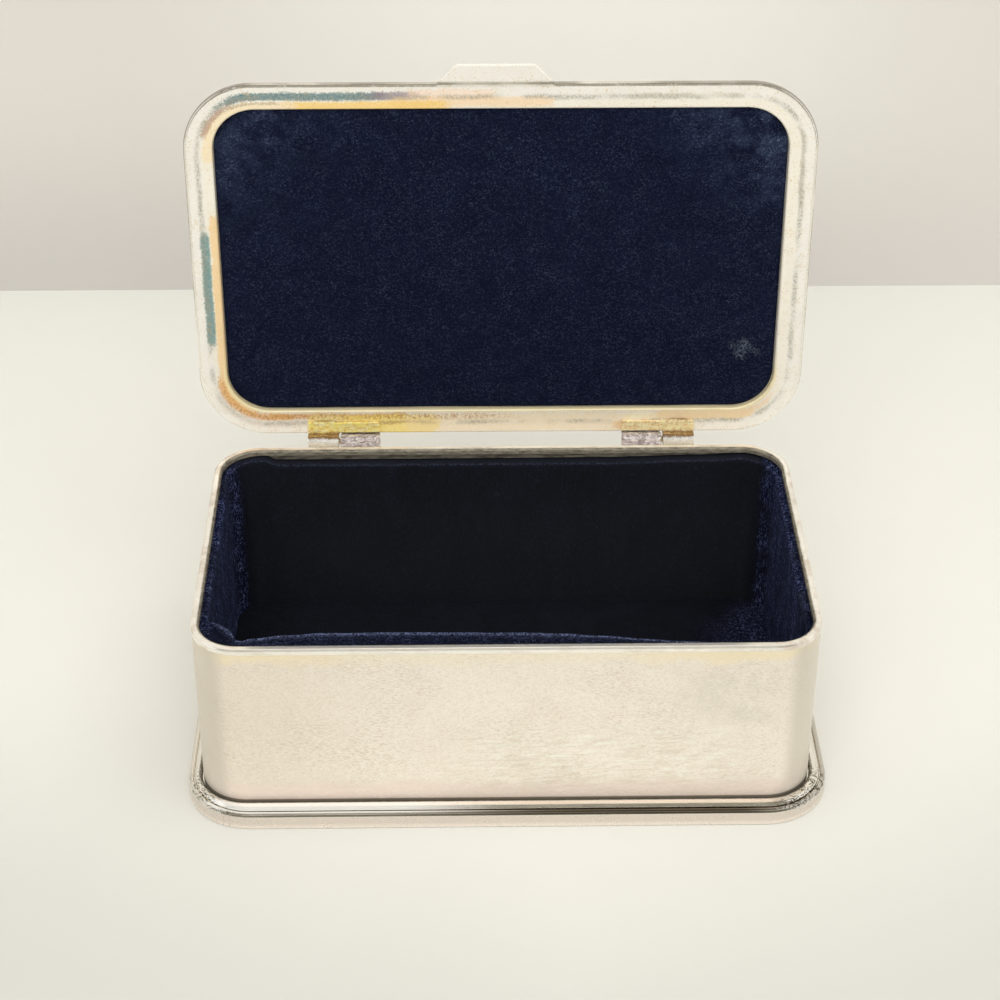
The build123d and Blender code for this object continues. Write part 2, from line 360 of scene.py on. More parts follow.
def wallTint(point, colour, roughness, wear):
    axes = axesOf(point)
    brushed = noiseAt(stretched(point, (0.45, 0.45, 1.7)), 0.42, 3.0, 0.75)
    zones = remap(noiseAt(stretched(point, (0.7, 0.7, 1.0)), 13.0, 4.0, 0.6), 0.36, 0.66)
    specks = times(remap(brushed, 0.44, 0.68), zones)
    colour = paint(colour, remap(axes["X"], -20.0, -50.0), *wallPaint["left"])
    colour = paint(colour, specks, *wallPaint["specks"])
    grit = remap(noiseAt(stretched(point, (0.8, 0.8, 1.6)), 0.36, 2.0, 0.8), 0.46, 0.62)
    colour = paint(colour, grit, *wallPaint["grit"])
    colour = paint(colour, times(remap(brushed, 0.56, 0.36), zones), *wallPaint["pale"])
    wander = noiseAt(stretched(point, (0.6, 0.6, 1.0)), 6.0, 5.0, 0.65)
    height = plus(axes["Z"], swing(wander, 7.0))
    atEnds = remap(absolute(plus(axes["X"], 4.0)), 20.0, 46.0, 0.3, 0.75)
    colour = paint(colour, band(height, 39.6, 47.0, 1.4), atEnds, wallPaint["gold"])
    # painted reflection: a pinkish band low on the wall where it mirrors the moulding, made duller too
    paintedFootReflection = band(plus(height, swing(brushed, 9.0)), -12.0, 8.6, 1.1)
    colour = paint(colour, paintedFootReflection, remap(brushed, 0.35, 0.6, 0.55, 1.0), wallPaint["foot"])
    front = remap(axes["Y"], -36.0, -37.2)
    smear = times(front, band(axes["X"], 33.0, 56.0, 6.0), band(axes["Z"], 22.0, 37.0, 4.0), wear["Clouds"])
    smear = times(smear, remap(brushed, 0.4, 0.58, 0.35, 1.0))
    colour = paint(colour, smear, *wallPaint["smear"])
    swept = plus(axes["Z"], times(axes["X"], -0.05))
    sweptPoint = pointAt(X=times(axes["X"], 0.16), Z=swept)
    sweeps = remap(noiseAt(sweptPoint, 0.7, 4.0, 0.7, 0.4), 0.5, 0.64)
    streaks = times(front, band(height, 8.0, 23.0, 3.0), band(axes["X"], -8.0, 48.0, 8.0), sweeps)
    colour = paint(colour, streaks, *wallPaint["streaks"])
    darker = remap(noiseAt(sweptPoint, 0.9, 4.0, 0.75, 0.5), 0.5, 0.38)
    between = times(front, band(height, 6.0, 22.0, 3.0), band(axes["X"], -12.0, 46.0, 8.0), darker)
    colour = paint(colour, between, *wallPaint["between"])
    # painted shade: darker reflections down the wall's rounded corners
    colour = paint(colour, band(absolute(axes["X"]), 57.5, 70.0, 1.8), *wallPaint["corners"])
    # darker inner face between the rim wire and the lining: tarnish, with painted shade under the wire
    innerFace = times(remap(insetFrom(wallOutline, point), 0.35, 0.6), remap(axes["Z"], 30.0, 34.0))
    innerShare = remap(noiseAt(stretched(point, (0.4, 0.4, 2.0)), 1.2, 4.0), 0.35, 0.6)
    innerTone = blendColour(innerShare, wallPaint["innerDark"], wallPaint["innerPale"])
    colour = blendColour(innerFace, colour, innerTone)
    # painted shade in the crevice where the wall meets the foot
    creviceShade = times(remap(axes["Z"], 4.95, 4.6), remap(axes["Z"], 3.0, 3.4))
    colour = paint(colour, creviceShade, *wallPaint["creviceShade"])
    dull = larger(larger(times(paintedFootReflection, 0.75), innerFace), 0.4)
    return colour, plus(roughness, times(dull, 0.2)), dull


wallSilver = plateMaterial("wallSilver", silverLook, wallTint)

brightLook = {
    **silverLook,
    "tone": (0.98, 0.945, 0.87),
    "cloudTone": (0.90, 0.855, 0.77),
    "cloudShare": 0.4,
    "cloudSize": 7.0,
    "scratchShare": 0.2,
    "roughness": (0.07, 0.16),
    "ripple": 0.04,
    "grain": 0.12,
}
footPaint = {
    "marks": (0.56, 0.46, 0.30),
    "flatLow": (0.88, 0.79, 0.71),
    "flatHigh": (0.68, 0.60, 0.53),
    "shadedLowLine": (0.10, 0.075, 0.05),
    "footCreviceShade": (0.17, 0.145, 0.10),
    "wrinkleReflections": (0.09, 0.08, 0.06),
    "beadHighlight": (1.0, 0.99, 0.97),
}


def atCorners(axes):
    sides = remap(absolute(axes["X"]), 54.0, 60.0)
    return times(sides, remap(axes["Y"], -26.0, -33.0), remap(axes["Z"], 2.8, 3.6))


def footTint(point, colour, roughness, wear):
    axes = axesOf(point)
    flat = band(axes["Z"], -1.0, 3.1, 0.15)
    flatTone = blendColour(remap(axes["Z"], 0.4, 1.6), footPaint["flatLow"], footPaint["flatHigh"])
    colour = paint(colour, flat, 0.85, flatTone)
    marks = remap(noiseAt(stretched(point, (2.2, 2.2, 0.2)), 1.0, 3.0, 0.7), 0.6, 0.75)
    patches = remap(noiseAt(point, 11.0, 2.0, 0.5), 0.52, 0.62)
    colour = paint(colour, times(flat, marks), patches, footPaint["marks"])
    inset = insetFrom(wallOutline, point)
    # painted shade: a dark line under the small bead
    shadedLowLine = times(remap(axes["Z"], 3.1, 3.35), remap(inset, -2.58, -2.68))
    lineShare = times(remap(axes["X"], -35.0, 15.0, 0.45, 0.9),
                      remap(absolute(axes["X"]), 48.0, 60.0, 1.0, 0.4))
    colour = paint(colour, shadedLowLine, lineShare, footPaint["shadedLowLine"])
    # painted shade in the crevice where the foot meets the wall
    nearWall = times(remap(inset, -1.15, -0.8), remap(axes["Z"], 3.4, 3.7))
    footCreviceShade = remap(noiseAt(point, 0.9, 3.0, 0.7), 0.3, 0.6, 0.55, 1.0)
    colour = paint(colour, nearWall, footCreviceShade, footPaint["footCreviceShade"])
    # painted dark reflections in the wrinkled corners of the foot
    folds = noiseAt(stretched(point, (1.0, 1.0, 1.4)), 3.2, 2.0, 0.5, 2.2)
    wrinkleReflections = times(atCorners(axes), band(folds, 0.49, 0.56, 0.012))
    colour = paint(colour, wrinkleReflections, 0.9, footPaint["wrinkleReflections"])
    # painted highlight along the bead at the front left, made duller so that it stays white
    beadHighlight = times(remap(axes["X"], 10.0, -25.0), remap(axes["Z"], 3.6, 3.9),
                      remap(axes["Y"], -36.0, -38.0), remap(inset, -0.9, -1.2))
    colour = paint(colour, beadHighlight, 0.7, footPaint["beadHighlight"])
    dull = larger(larger(times(flat, 0.5), nearWall), times(beadHighlight, 0.7))
    return colour, plus(roughness, times(flat, 0.13)), dull


def footWrinkles(point):
    folds = noiseAt(stretched(point, (1.0, 1.0, 2.0)), 2.2, 3.0, 0.6, 1.2)
    return times(atCorners(axesOf(point)), times(folds, 45.0))


footSilver = plateMaterial("footSilver", {**brightLook, "wrinkles": footWrinkles}, footTint)

rimLook = {
    **brightLook,
    "roughness": (0.12, 0.22),
    "grain": 0.15,
    "speckShare": 0.2,
    "cloudTone": (0.74, 0.68, 0.60),
}
rimPaint = {
    "stain": (0.66, 0.545, 0.44),
    "innerShadeDark": (0.10, 0.08, 0.05),
    "innerShadePale": (0.32, 0.28, 0.20),
}


def rimTint(point, colour, roughness, wear):
    atSides = remap(absolute(axesOf(point)["X"]), 50.0, 58.0, 0.3, 1.0)
    stain = times(remap(noiseAt(point, 3.2, 4.0, 0.65), 0.48, 0.66), atSides)
    colour = paint(colour, stain, 0.6, rimPaint["stain"])
    # painted shade on the wire's inner edge, above the lining
    inner = remap(plus(insetFrom(rimOutline, point), swing(noiseAt(point, 1.4, 3.0), 0.5)), 1.1, 1.5)
    innerShadeMix = remap(noiseAt(stretched(point, (0.5, 0.5, 2.0)), 1.0, 4.0, 0.7), 0.36, 0.6)
    innerShadeTone = blendColour(innerShadeMix, rimPaint["innerShadeDark"], rimPaint["innerShadePale"])
    return paint(colour, inner, 0.9, innerShadeTone), roughness, larger(inner, 0.46)


rimSilver = plateMaterial("rimSilver", rimLook, rimTint)

shellLook = {**silverLook, "roughness": (0.14, 0.24), "cloudSize": 18.0, "stretch": (0.3, 3.0, 3.0)}
shellSilver = plateMaterial("shellSilver", shellLook)

# Where the open lid is: the middle of its rim's face, the height of its rim's middle, and its angle
lidPlace = {"middle": (0.0, 45.632, 84.016), "rimMiddle": 84.316, "openAngle": 92.0}
# Marks on the lid's rim: from and to across, upwards from its middle and inwards from its edge, then the
# tone and the share; a sharp mark has straight ends
rimMarks = [
    ((-60, -26), (34, 50), (1.7, 3.5), (0.08, 0.205, 0.23), 1.0),
    ((-29, -15), (36, 50), (1.7, 3.6), (0.27, 0.21, 0.29), 0.9),
    ((-18, -1), (36, 50), (1.2, 3.4), (1.0, 0.76, 0.58), 0.75),
    ((-24, 10), (36, 50), (2.8, 5.2), (1.0, 0.70, 0.40), 0.75),
    ((-46, -12), (33, 50), (3.7, 8.0), (1.0, 0.68, 0.20), 1.0),
    ((-66, -44), (24, 50), (3.9, 8.0), (1.0, 0.80, 0.48), 0.75),
    ((-66, -57), (30, 38), (3.1, 4.4), (0.46, 0.25, 0.16), 0.85),
    ((-62, -46), (34, 50), (3.9, 4.5), (0.30, 0.20, 0.10), 0.6),
    ((-70, -64), (-6, 30), (2.6, 3.4), (0.45, 0.46, 0.38), 0.55),
    ((-70, -60), (-19, 8), (2.3, 4.3), (0.11, 0.28, 0.29), 1.0),
    ((-70, -56), (-38, 12), (4.4, 6.5), (1.0, 0.68, 0.30), 0.9),
    ((-66, -46), (-50, -28), (3.6, 5.4), (0.88, 0.47, 0.16), 0.9),
    ((-52, -20), (-50, -30), (3.9, 5.3), (0.80, 0.43, 0.13), 0.9),
    ((-64, -20), (-50, -30), (1.8, 3.8), (0.78, 0.67, 0.58), 0.5),
    ((-43.4, -36.0), (-50, -36.6), (-1.0, 5.2), (1.0, 0.84, 0.34), 0.95, "sharp"),
    ((-36.0, -14), (-50, -36.6), (-1.0, 5.2), (1.0, 0.80, 0.20), 0.95),
    ((-40, -16), (-50, -36), (2.6, 3.3), (0.42, 0.23, 0.06), 0.75),
    ((28.6, 34.6), (-50, -36.2), (3.4, 5.6), (1.0, 0.90, 0.60), 0.85),
    ((26, 35), (-50, -36.2), (0.6, 3.2), (0.80, 0.40, 0.12), 0.85),
    ((34, 58), (-50, -33), (3.2, 5.6), (0.98, 0.70, 0.34), 0.8),
    ((56, 64), (-46, -16), (3.0, 3.6), (0.42, 0.42, 0.33), 0.5),
    ((52, 62), (-46, -30), (4.0, 5.2), (0.96, 0.72, 0.46), 0.7),
    ((58, 68), (14, 32), (2.8, 3.6), (0.42, 0.36, 0.26), 0.6),
    ((28, 52), (36, 50), (2.2, 3.4), (0.66, 0.61, 0.50), 0.5),
    ((-20, 30), (-50, -36.5), (0.4, 5.6), (0.97, 0.78, 0.48), 0.6),
]
lidLook = {
    **brightLook,
    "roughness": (0.16, 0.28),
    "tone": (1.0, 0.965, 0.90),
    "cloudShare": 0.1,
    "speckShare": 0.1,
    "stretch": (3.0, 0.3, 3.0),
    "ripple": 0.03,
}
lidPaint = {
    "inner": (0.45, (1.0, 0.92, 0.74)),
    "browned": (0.75, (0.48, 0.22, 0.05)),
    "dirt": (0.8, (0.36, 0.335, 0.25)),
    "edgeLine": (0.75, (0.30, 0.27, 0.22)),
    "lowLip": (0.8, (1.0, 0.86, 0.50)),
}


def lidTint(point, colour, roughness, wear):
    axes = axesOf(point)
    up = minus(axes["Z"], lidPlace["rimMiddle"])
    inset = insetFrom(lidOutline, pointAt(X=axes["X"], Y=up))
    drift = plus(inset, swing(noiseAt(point, 7.0, 4.0, 0.7), 1.2))
    along = plus(axes["X"], swing(noiseAt(point, 9.0, 3.0), 14.0))
    inner = ragged(remap(drift, 2.8, 4.4), point, 2.6)
    colour = paint(colour, inner, *lidPaint["inner"])
    offEdge = larger(remap(inset, 0.35, 0.9), remap(inset, -0.4, -0.7))
    dull = times(plus(times(inner, 0.1), 0.7), offEdge)
    mottle = remap(noiseAt(point, 0.5, 3.0, 0.8), 0.3, 0.62, 1.0, 0.8)
    for across, upwards, inwards, tone, share, *sharp in rimMarks:
        endSoftness = 0.15 if sharp else 3.0
        mask = times(band(axes["X"] if sharp else along, *across, endSoftness),
                     band(up, *upwards, 2.0), band(drift, *inwards, 0.65))
        mask = ragged(mask, point, 2.9)
        colour = paint(colour, times(mask, mottle), share, tone)
        dull = larger(dull, mask)
    browned = times(remap(up, -24.0, -32.0), remap(along, 10.0, -10.0), band(drift, 3.7, 5.1, 0.4),
                    remap(noiseAt(point, 0.6, 4.0, 0.8, 0.6), 0.47, 0.58))
    colour = paint(colour, browned, *lidPaint["browned"])
    worn = remap(noiseAt(point, 8.0, 2.0, 0.5), 0.34, 0.58)
    dirt = times(band(drift, 2.4, 3.4, 0.4), worn,
                 remap(noiseAt(point, 0.5, 3.0, 0.85), 0.44, 0.6, 0.3, 1.0))
    colour = paint(colour, dirt, *lidPaint["dirt"])
    # painted dark reflection: a thin dark line along the rim's rounded outer edge
    edgeLine = times(remap(inset, 0.3, 0.12), remap(inset, -0.5, -0.2),
                     remap(noiseAt(point, 14.0, 2.0), 0.3, 0.6))
    colour = paint(colour, edgeLine, *lidPaint["edgeLine"])
    dull = larger(dull, times(remap(up, -33.0, -37.5), 0.9))
    lowLip = times(remap(inset, 5.45, 5.65), remap(up, -20.0, -30.0))
    colour = paint(colour, lowLip, *lidPaint["lowLip"])
    return colour, plus(roughness, times(dull, 0.22)), dull


lidSilver = plateMaterial("lidSilver", lidLook, lidTint)

hingeLook = {
    **brightLook,
    "tone": (0.80, 0.75, 0.66),
    "cloudTone": (0.55, 0.47, 0.35),
    "cloudShare": 0.8,
    "cloudSize": 2.2,
    "speckTone": (0.30, 0.20, 0.09),
    "speckShare": 0.6,
    "roughness": (0.2, 0.42),
    "ripple": 0.1,
    "grain": 0.6,
}
barrelPaint = {
    "grey": (0.62, 0.54, 0.53),
    "pale": (0.86, 0.80, 0.77),
    "coarse": (0.85, (0.22, 0.17, 0.16)),
}
leafPaint = {
    "barrelHighlight": (1.0, 0.99, 0.96),
    "goldLeft": (1.0, 0.86, 0.26),
    "goldRight": (1.0, 0.84, 0.50),
    "pale": (0.8, (1.0, 0.96, 0.58)),
    "fine": (0.6, (0.62, 0.31, 0.07)),
    "brown": (0.9, (0.32, 0.16, 0.04)),
}


def barrelTint(point, colour, roughness, wear):
    coarse = remap(noiseAt(stretched(point, (0.6, 1.0, 1.4)), 0.9, 4.0, 0.75, 0.9), 0.46, 0.6)
    pale = remap(noiseAt(point, 1.1, 3.0, 0.7), 0.4, 0.6)
    colour = blendColour(pale, barrelPaint["grey"], barrelPaint["pale"])
    colour = paint(colour, coarse, *barrelPaint["coarse"])
    return colour, plus(roughness, 0.2), calculate("ADD", coarse, 0.6, clamp=True)


def leafTint(point, colour, roughness, wear):
    axes = axesOf(point)
    height = plus(axes["Z"], swing(noiseAt(point, 0.9, 4.0, 0.75), 1.1))
    gold = remap(height, 42.9, 43.3)
    goldTone = blendColour(remap(axes["X"], -5.0, 5.0), leafPaint["goldLeft"], leafPaint["goldRight"])
    # painted highlight: the barrel and the leaf's foot are made near white and dull
    colour = blendColour(0.85, colour, leafPaint["barrelHighlight"])
    colour = blendColour(gold, colour, goldTone)
    pale = remap(noiseAt(point, 1.4, 4.0, 0.75), 0.44, 0.6)
    colour = paint(colour, times(gold, pale), *leafPaint["pale"])
    fine = remap(noiseAt(stretched(point, (0.6, 1.0, 1.3)), 0.6, 3.0, 0.8), 0.5, 0.6)
    colour = paint(colour, times(gold, fine), *leafPaint["fine"])
    # brown tarnish bands at the leaf's top and at its joint with the barrel; the band at the joint is also
    # painted shade
    brown = larger(band(height, 46.0, 46.8, 0.3), band(height, 42.8, 43.3, 0.15))
    return paint(colour, brown, *leafPaint["brown"]), roughness, plus(times(gold, 0.25), 0.5)


knuckleMetal = plateMaterial("knuckleMetal", hingeLook, barrelTint)
leafMetal = plateMaterial("leafMetal", hingeLook, leafTint)
pinMetal = plateMaterial("pinMetal", {**hingeLook, "tone": (0.78, 0.64, 0.40)})

velvetLook = {
    "deep": (0.0046, 0.0060, 0.0185),
    "light": (0.0060, 0.0082, 0.0240),
    "paintedSheenTone": (0.019, 0.028, 0.058),
    "pile": (1.0, 1.0, 1.0),
    "fibre": (0.12, 0.15, 0.25),
    "fibreShare": 0.30,
    "fibreInPaintedSheen": 3.3,
    "edge": (0.12, 0.145, 0.26),
    "sheen": 0.12,
    "sheenTint": (0.30, 0.36, 0.75),
}
velvetPaint = {
    "lift": (1.0, 1.0, 1.1),
    "fold": (0.55, (0.0015, 0.0025, 0.0065)),
    "rubbed": (0.095, 0.115, 0.145),
}


def atFrontFold(axes):
    return times(remap(axes["Y"], -20.0, -26.0), remap(axes["Z"], 30.0, 36.0))


def velvetMaterial(name, look, sheenPainter):
    material, tree, shader, point = newMaterial(name)
    pile = useGroup(pileGroup, {"Point": stretched(point, look["pile"])})
    # painted sheen: a lighter haze where the pile catches the light, with more fibres showing in it
    paintedSheenMask = sheenPainter(point)
    colour = blendColour(pile["Nap"], look["deep"], look["light"])
    colour = blendColour(paintedSheenMask, colour, look["paintedSheenTone"])
    inPaintedSheen = remap(paintedSheenMask, 0.0, 1.0, 1.0, look["fibreInPaintedSheen"])
    colour = paint(colour, times(pile["Fibres"], look["fibreShare"]), inPaintedSheen, look["fibre"])
    if "deepen" in look:
        axes = axesOf(point)
        lift = remap(axes["Z"], 40.0, 5.0, 0.0, 0.0075)
        colour = paint(colour, lift, remap(absolute(axes["X"]), 58.5, 55.0), velvetPaint["lift"])
        colour = paint(colour, atFrontFold(axes), *velvetPaint["fold"])
    if "rub" in look:
        fromRub = addNode(tree, "VectorMath", {0: point, 1: look["rub"]}, operation="DISTANCE")
        away = plus(fromRub.outputs["Value"], swing(noiseAt(point, 2.2, 3.0, 0.7), 11.0))
        threads = remap(noiseAt(point, 0.6, 3.0, 0.8), 0.42, 0.62)
        colour = paint(colour, remap(away, 3.2, 0.2), threads, velvetPaint["rubbed"])
    # painted highlight: a light line where fibres on the fold's edge catch the light
    edge = addNode(tree, "Attribute", attribute_name="foldHighlight").outputs["Fac"]
    highlightBreakup = remap(noiseAt(point, 0.4, 3.0, 0.85), 0.44, 0.6)
    fill(shader, {
        "Base Color": paint(colour, edge, highlightBreakup, look["edge"]),
        "Roughness": 0.95,
        "Specular IOR Level": 0.02,
        "Sheen Weight": look["sheen"],
        "Sheen Roughness": 0.35,
        "Sheen Tint": (*look["sheenTint"], 1),
        "Normal": bumped(pile["Height"], 0.6, 0.15),
    })
    return material


# painted sheen: lighter haze in the lid velvet's upper corners
def paintedLidSheen(point):
    axes = axesOf(point)
    corner = remap(plus(absolute(axes["X"]), axes["Z"]), 140.0, 178.0)
    left = remap(axes["X"], 0.0, -10.0, 1.0, 0.75)
    return times(corner, left, remap(noiseAt(point, 6.0, 4.0, 0.65), 0.38, 0.62))


# painted sheen: lighter blue on the side linings, seen at a grazing angle, and half as much on the front
# fold
def paintedSideSheen(point):
    axes = axesOf(point)
    patches = remap(noiseAt(point, 7.0, 3.0, 0.6), 0.34, 0.6, 0.35, 1.0)
    ends = times(remap(absolute(axes["X"]), 57.5, 59.5), patches)
    return larger(ends, times(atFrontFold(axes), 0.5))


# painted light: a lit patch on the right front of the floor
def paintedFloorLight(point):
    axes = axesOf(point)
    slanted = minus(axes["X"], times(axes["Y"], 0.62))
    return remap(plus(slanted, swing(noiseAt(point, 9.0, 3.0), 9.0)), 26.0, 44.0, 0.0, 0.55)


insideLook = {
    **velvetLook,
    "deep": (0.0090, 0.0100, 0.0130),
    "light": (0.0110, 0.0123, 0.0175),
    "paintedSheenTone": (0.0040, 0.0062, 0.0230),
    "fibre": (0.26, 0.30, 0.60),
    "fibreShare": 0.03,
    "fibreInPaintedSheen": 27.0,
    "edge": (0.16, 0.19, 0.34),
    "sheen": 0.05,
}
wallLook = {**insideLook, "pile": (1.0, 1.0, 0.4), "deepen": True}
# painted shade: the floor's velvet is a darker copy of the walls' velvet
shadedFloorLook = {**insideLook, "deep": (0.0072, 0.0080, 0.0105), "light": (0.0090, 0.0100, 0.0145)}
velvetBox = velvetMaterial("velvetBox", wallLook, paintedSideSheen)
velvetFloorCloth = velvetMaterial("velvetFloor", shadedFloorLook, paintedFloorLight)
velvetLid = velvetMaterial("velvetLid", {**velvetLook, "rub": (53.7, 45.6, 63.7)}, paintedLidSheen)

boardMaterial, tree, shader, point = newMaterial("greyBoard")
fibre = noiseAt(stretched(point, (1.0, 1.0, 2.5)), 0.5, 4.0, 0.7)
boardTone = blendColour(fibre, (0.34, 0.31, 0.26), (0.55, 0.51, 0.44))
fill(shader, {"Base Color": boardTone, "Roughness": 0.9, "Normal": bumped(fibre, 0.5, 0.1)})

finishes = {
    "bottom_plate": shellSilver,
    "base_moulding": footSilver,
    "body_wall": wallSilver,
    "rim_wire": rimSilver,
    "lid_rim_frame": lidSilver,
    "lid_shell": shellSilver,
    "thumbpiece": lidSilver,
    "hinge_pin_left": pinMetal,
    "hinge_pin_right": pinMetal,
    "lid_card": boardMaterial,
    "floor_card": boardMaterial,
}
for side in ("left", "right", "front", "back"):
    finishes["lining_card_" + side] = boardMaterial
for name, material in finishes.items():
    mesh = nodes[name].data
    mesh.materials.clear()
    mesh.materials.append(material)
print("materials ready")


# ---- helpers for shaping
def onlyThis(thing):
    bpy.ops.object.select_all(action="DESELECT")
    thing.select_set(True)
    bpy.context.view_layer.objects.active = thing


def applyModifier(thing, kind, **settings):
    modifier = thing.modifiers.new(kind.title(), kind)
    for name, value in settings.items():
        setattr(modifier, name, value)
    onlyThis(thing)
    bpy.ops.object.modifier_apply(modifier=modifier.name)


def settle(thing):
    onlyThis(thing)
    bpy.ops.object.transform_apply(location=True, rotation=True, scale=True)


def finishPiece(thing, name, body, material, replaced, smoothAngle=50.0):
    thing.name = name
    thing.data.name = name
    thing.data.materials.clear()
    thing.data.materials.append(material)
    onlyThis(thing)
    bpy.ops.object.shade_smooth_by_angle(angle=math.radians(smoothAngle))
    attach(thing, body)
    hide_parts(*replaced)
    thing.select_set(False)


def readStops(stops, value):
    for (firstAt, first), (nextAt, following) in zip(stops, stops[1:]):
        if value <= nextAt:
            share = max(0.0, (value - firstAt) / (nextAt - firstAt))
            return first + (following - first) * share * share * (3 - 2 * share)
    return stops[-1][1]


def unevenness(point, size):
    return noise.noise(Vector(point) / size)


# ---- velvet round the box's inside: travel runs from the middle of the front towards +X, in millimetres
liningLine = {"straightX": 53.5, "straightY": 27.75, "radius": 8.0, "inset": 2.0}


def linePoint(travel):
    runX, runY, radius = (liningLine[key] for key in ("straightX", "straightY", "radius"))
    turn = radius * math.pi / 2
    legs = [
        (runX, (0, -runY - radius), (1, 0)),
        (turn, (runX, -runY), -90),
        (2 * runY, (runX + radius, -runY), (0, 1)),
        (turn, (runX, runY), 0),
        (2 * runX, (runX, runY + radius), (-1, 0)),
        (turn, (-runX, runY), 90),
        (2 * runY, (-runX - radius, runY), (0, -1)),
        (turn, (-runX, -runY), 180),
        (runX, (-runX, -runY - radius), (1, 0)),
    ]
    travel %= sum(leg[0] for leg in legs)
    for length, start, course in legs:
        if travel <= length:
            break
        travel -= length
    if isinstance(course, tuple):
        point = Vector(start) + Vector(course) * travel
        return point, Vector((-course[1], course[0]))
    angle = math.radians(course) + travel / radius
    outward = Vector((math.cos(angle), math.sin(angle)))
    return Vector(start) + outward * radius, -outward


stripShape = {
    "step": 0.6,
    "faceRows": 50,
    "roundRows": 5,
    "topRows": 8,
    "foot": 2.0,
    "faceInset": 2.9,
    "roundness": 0.8,
    "wallInset": 1.02,
    "thickness": 0.45,
}
# The edge stops set how strong the painted highlight on the fold's edge is along each strip
strips = {
    "front": {
        "ends": (-58.28, 58.28),
        "edge": [(-58.3, 1.0), (58.3, 1.0)],
        "shoulder": [(-58.3, 41.1), (20, 41.1), (58.3, 40.5)],
        "lean": [(-58.2, 4.9), (-56.5, 4.2), (-54.5, 3.1), (-52.8, 2.5), (-51.3, 3.3), (-44, 4.4),
                 (-37, 5.0), (-21, 5.1), (-1, 4.8), (11, 4.3), (18.6, 3.5), (26.5, 2.5), (34.5, 1.7),
                 (42, 1.25), (58.2, 0.5)],
    },
    "right": {
        "ends": (58.28, 129.34),
        "edge": [(58.3, 0.5), (70, 0.1), (129.3, 0.1)],
        "shoulder": [(58.3, 40.5), (70, 39.85), (112, 39.8), (122, 40.1), (129.3, 40.5)],
        "lean": [(58.35, 0.5), (66, 0.2), (92, 0.3), (112, 0.1), (129.3, -0.1)],
    },
    "back": {
        "ends": (129.34, 245.91),
        "edge": [(129.3, 0.2), (245.9, 0.22)],
        "shoulder": [(129.3, 40.5), (134, 40.7), (143, 40.3), (165, 39.8), (188, 39.72), (232, 39.72),
                     (238, 39.8), (240.5, 40.8), (245.9, 40.9)],
        "lean": [(129.45, -0.1), (150, 0.1), (190, 0.0), (225, 0.1), (245.8, -0.2)],
    },
    "left": {
        "ends": (-129.36, -58.28),
        "edge": [(-129.3, 0.2), (-120, 0.1), (-72, 0.1), (-68, 1.0), (-58.3, 1.0)],
        "shoulder": [(-129.3, 40.9), (-122, 40.2), (-114, 39.8), (-72, 39.85), (-66, 40.8),
                     (-58.3, 41.1)],
        "lean": [(-129.32, -0.2), (-110, 0.1), (-90, 0.1), (-70, 0.1), (-68.6, 0.8), (-67.6, 2.6),
                 (-66.4, 4.2), (-64, 5.0), (-61, 5.1), (-58.35, 4.9)],
    },
}


def stripPoint(row, lean, shoulder, travel):
    shape = stripShape
    wave = 0.1 * unevenness((travel, 0, 0), 7.0) + 0.07 * unevenness((travel, 5, 0), 1.9)
    shoulder += wave
    edgeInset = shape["faceInset"] + lean
    if row <= shape["faceRows"]:
        height = shape["foot"] + (shoulder - shape["foot"]) * row / shape["faceRows"]
        share = (height - shape["foot"]) / (shoulder - shape["foot"])
        return shape["faceInset"] + lean * share ** 1.4, height
    row -= shape["faceRows"]
    if row <= shape["roundRows"]:
        angle = math.pi / 2 * row / shape["roundRows"]
        return (edgeInset - shape["roundness"] * (1 - math.cos(angle)),
                shoulder + shape["roundness"] * math.sin(angle))
    share = (row - shape["roundRows"]) / shape["topRows"]
    firstInset = edgeInset - shape["roundness"]
    sag = 0.1 * lean * math.sin(math.pi * share) + wave * share
    return (firstInset + (shape["wallInset"] - firstInset) * share,
            shoulder + shape["roundness"] - sag)


def coverStrip(side):
    shape = stripShape
    stops = strips[side]
    start, end = stops["ends"]
    columns = int((end - start) / shape["step"])
    rows = shape["faceRows"] + shape["roundRows"] + shape["topRows"]
    bpy.ops.mesh.primitive_grid_add(x_subdivisions=columns, y_subdivisions=rows, size=1)
    cover = bpy.context.object
    foldHighlight = cover.data.attributes.new("foldHighlight", "FLOAT", "POINT")
    for vertex in cover.data.vertices:
        travel = end + (start - end) * (vertex.co.x + 0.5)
        lean = readStops(stops["lean"], travel)
        row = round((vertex.co.y + 0.5) * rows)
        inset, height = stripPoint(row, lean, readStops(stops["shoulder"], travel), travel)
        # overFold and fromFold place the painted highlight on the fold's edge
        overFold = 1.0 + 3.8 * min(1.0, max(0.0, lean) / 1.5)
        fromFold = abs(row - shape["faceRows"] - overFold)
        foldHighlight.data[vertex.index].value = max(0.0, 1 - fromFold / 1.3) * readStops(stops["edge"], travel)
        fromEnd = min(travel - start, end - travel)
        inset -= 0.08 * max(0.0, 1 - fromEnd / 0.9) ** 2
        point, inward = linePoint(travel)
        puff = 0.16 * unevenness((travel, height, 3), 11.0) + 0.05 * unevenness((travel, height, 9), 1.3)
        place = point + inward * (inset - liningLine["inset"] + puff * min(1.0, (inset - 1.2) / 1.6))
        vertex.co = Vector((place.x, place.y, height)) * mm
    applyModifier(cover, "SOLIDIFY", thickness=shape["thickness"] * mm, offset=-1.0)
    finishPiece(cover, "velvetLining" + side.title(), "box", velvetBox,
                ["lining_velvet_" + side])
    return cover


for side in strips:
    cover = coverStrip(side)
print("lining covers ready")


